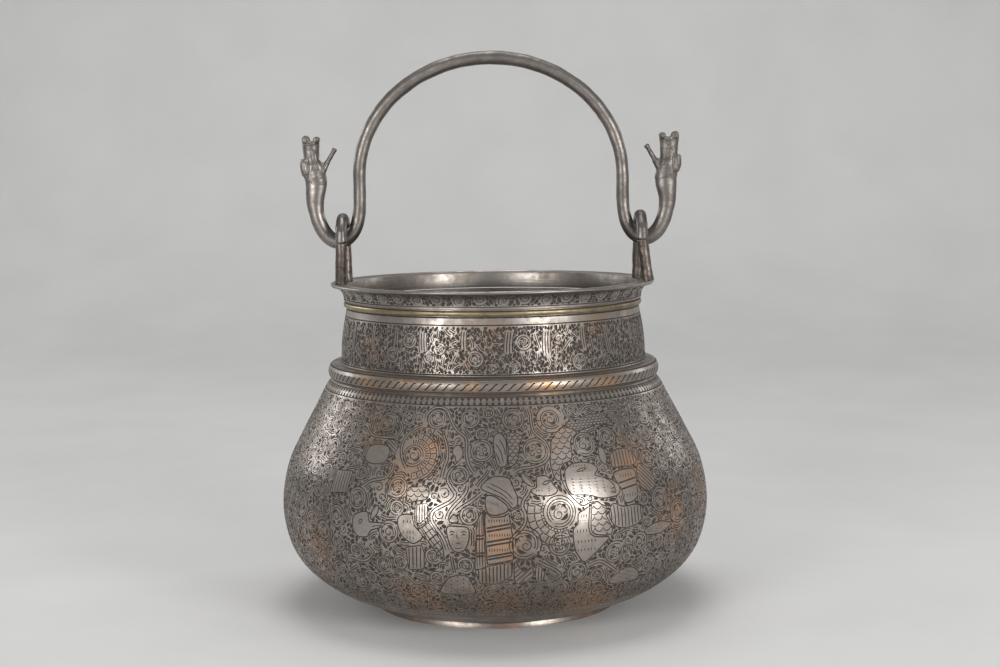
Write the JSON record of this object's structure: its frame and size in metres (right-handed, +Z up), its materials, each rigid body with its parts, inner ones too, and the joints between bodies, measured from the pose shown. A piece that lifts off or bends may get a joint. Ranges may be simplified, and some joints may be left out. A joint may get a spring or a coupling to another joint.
{
  "type": "bail-handled pail",
  "caption": "Low round metal pail with a bellied bowl, wide neck, moulded rings and flanged rim; a bail swings in two eyes and ends in dragon heads.",
  "frame": {"origin": "centre of the pail's foot on the surface it stands on", "axes": "+Z up along the bowl's axis; X runs through both eyes, along the bail's pivot; the bail stands in the XZ plane at rest"},
  "size_m": [0.2498, 0.2498, 0.3243],
  "materials": {
    "tinned_copper": "worn tinned copper, engraved",
    "ring_copper": "rubbed copper with worn tinning",
    "collar_metal": "worn tinned copper alloy, engraved",
    "bead_brass": "rubbed yellow brass",
    "foot_copper": "dull copper with worn tinning",
    "eye_bronze": "rubbed brown bronze",
    "bail_bronze": "grey-brown bronze, polished by handling",
    "head_bronze": "cast grey-brown bronze"
  },
  "bodies": {
    "vessel": {"body_shell": "tinned_copper", "shoulder_ring": "ring_copper", "rim_flange": "collar_metal", "neck_bead": "bead_brass", "foot_ring": "foot_copper", "eye_left": "eye_bronze", "eye_right": "eye_bronze"},
    "bail": {"bail": "bail_bronze", "dragon_head_left": "head_bronze", "dragon_head_right": "head_bronze"}
  },
  "joints": [
    {"name": "bail_swing", "type": "hinge", "parent": "vessel", "child": "bail", "pos_m": [0, 0, 0.2154], "axis": [1, 0, 0], "range_deg": [-105, 105]}
  ]
}
